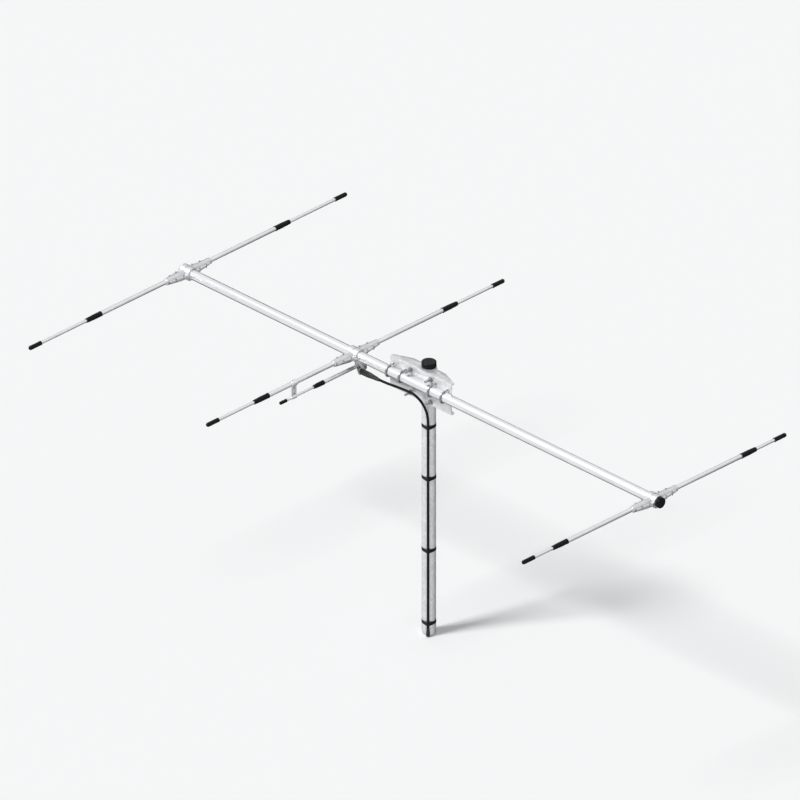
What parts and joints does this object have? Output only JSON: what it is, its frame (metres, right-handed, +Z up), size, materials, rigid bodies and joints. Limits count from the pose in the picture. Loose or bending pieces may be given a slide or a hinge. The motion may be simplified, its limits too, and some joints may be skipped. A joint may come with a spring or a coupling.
{
  "type": "yagi antenna",
  "caption": "Long-boom VHF yagi antenna with stepped element rods in cast clamps, a gamma match, a U-bolted mast plate and a coax cable taped down a stub mast.",
  "frame": {"origin": "centre of the mast's open lower end", "axes": "+X along the boom from the reflector to the director, +Y along the elements to the left, +Z up the mast"},
  "size_m": [3.3142, 2.194, 1.5153],
  "materials": {
    "aluminium_tube": "drawn aluminium tube and sheet, weathered to a dull satin",
    "cast_aluminium": "fine-grained casting, lightly tumbled",
    "galvanised_steel": "hot-dip galvanised, soft spangle",
    "zinc_hardware": "zinc-plated fasteners",
    "black_vinyl": "dipped vinyl, low gloss",
    "black_rubber": "moulded rubber, matt",
    "black_jacket": "extruded cable jacket",
    "nickel_brass": "nickel-plated brass",
    "white_insulator": "machined insulator, natural white"
  },
  "bodies": {
    "mast": {"mast_tube": "galvanised_steel", "mast_cap": "black_vinyl", "coax_mast": "black_jacket", "coax_end_plug": "black_rubber"},
    "boom": {"boom_cap_front": "black_vinyl", "boom_plug_rear": "black_vinyl", "boom_tube": "aluminium_tube", "boom_u_bolt_1": "zinc_hardware", "boom_u_bolt_2": "zinc_hardware", "boom_u_bolt_3": "zinc_hardware", "boom_u_bolt_4": "zinc_hardware", "coax_boot": "black_rubber", "coax_feed": "black_jacket", "coax_plug": "nickel_brass", "coax_socket": "nickel_brass", "director_base_tube_left": "aluminium_tube", "director_base_tube_right": "aluminium_tube", "director_clamp_lower": "cast_aluminium", "director_clamp_upper": "cast_aluminium", "director_joint_sleeve_left": "black_vinyl", "director_joint_sleeve_right": "black_vinyl", "driven_base_tube_left": "aluminium_tube", "driven_base_tube_right": "aluminium_tube", "driven_clamp_lower": "cast_aluminium", "driven_clamp_upper": "cast_aluminium", "driven_joint_sleeve_left": "black_vinyl", "driven_joint_sleeve_right": "black_vinyl", "feed_plate": "aluminium_tube", "gamma_block": "white_insulator", "gamma_insulator": "white_insulator", "gamma_sleeve": "black_vinyl", "gamma_tube": "aluminium_tube", "mast_bolt_lower_front": "zinc_hardware", "mast_bolt_lower_rear": "zinc_hardware", "mast_bolt_upper_front": "zinc_hardware", "mast_bolt_upper_rear": "zinc_hardware", "mast_plate": "galvanised_steel", "mast_strap_lower": "galvanised_steel", "mast_strap_upper": "galvanised_steel", "reflector_base_tube_left": "aluminium_tube", "reflector_base_tube_right": "aluminium_tube", "reflector_clamp_lower": "cast_aluminium", "reflector_clamp_upper": "cast_aluminium", "reflector_joint_sleeve_left": "black_vinyl", "reflector_joint_sleeve_right": "black_vinyl"},
    "reflector_tip_left": {"reflector_tip_tube_left": "aluminium_tube", "reflector_tip_cap_left": "black_vinyl"},
    "reflector_tip_right": {"reflector_tip_tube_right": "aluminium_tube", "reflector_tip_cap_right": "black_vinyl"},
    "driven_tip_left": {"driven_tip_tube_left": "aluminium_tube", "driven_tip_cap_left": "black_vinyl"},
    "driven_tip_right": {"driven_tip_tube_right": "aluminium_tube", "driven_tip_cap_right": "black_vinyl"},
    "director_tip_left": {"director_tip_tube_left": "aluminium_tube", "director_tip_cap_left": "black_vinyl"},
    "director_tip_right": {"director_tip_tube_right": "aluminium_tube", "director_tip_cap_right": "black_vinyl"},
    "gamma_strap_body": {"gamma_strap": "aluminium_tube"},
    "gamma_rod_body": {"gamma_rod": "aluminium_tube", "gamma_rod_cap": "black_vinyl"}
  },
  "joints": [
    {"name": "azimuth", "type": "hinge", "parent": "mast", "child": "boom", "pos_m": [0, 0, 1.4], "axis": [0, 0, 1], "range_deg": [-30, 30]},
    {"name": "reflector_tip_left_slide", "type": "slide", "parent": "boom", "child": "reflector_tip_left", "axis": [0, 1, 0], "range_m": [-0.05, 0.05]},
    {"name": "reflector_tip_right_slide", "type": "slide", "parent": "boom", "child": "reflector_tip_right", "axis": [0, -1, 0], "range_m": [-0.05, 0.05]},
    {"name": "driven_tip_left_slide", "type": "slide", "parent": "boom", "child": "driven_tip_left", "axis": [0, 1, 0], "range_m": [-0.05, 0.05]},
    {"name": "driven_tip_right_slide", "type": "slide", "parent": "boom", "child": "driven_tip_right", "axis": [0, -1, 0], "range_m": [-0.05, 0.05]},
    {"name": "director_tip_left_slide", "type": "slide", "parent": "boom", "child": "director_tip_left", "axis": [0, 1, 0], "range_m": [-0.05, 0.05]},
    {"name": "director_tip_right_slide", "type": "slide", "parent": "boom", "child": "director_tip_right", "axis": [0, -1, 0], "range_m": [-0.05, 0.05]},
    {"name": "gamma_strap_slide", "type": "slide", "parent": "boom", "child": "gamma_strap_body", "axis": [0, 1, 0], "range_m": [-0.01, 0.09]},
    {"name": "gamma_rod_slide", "type": "slide", "parent": "boom", "child": "gamma_rod_body", "axis": [0, 1, 0], "range_m": [-0.03, 0.01]}
  ]
}
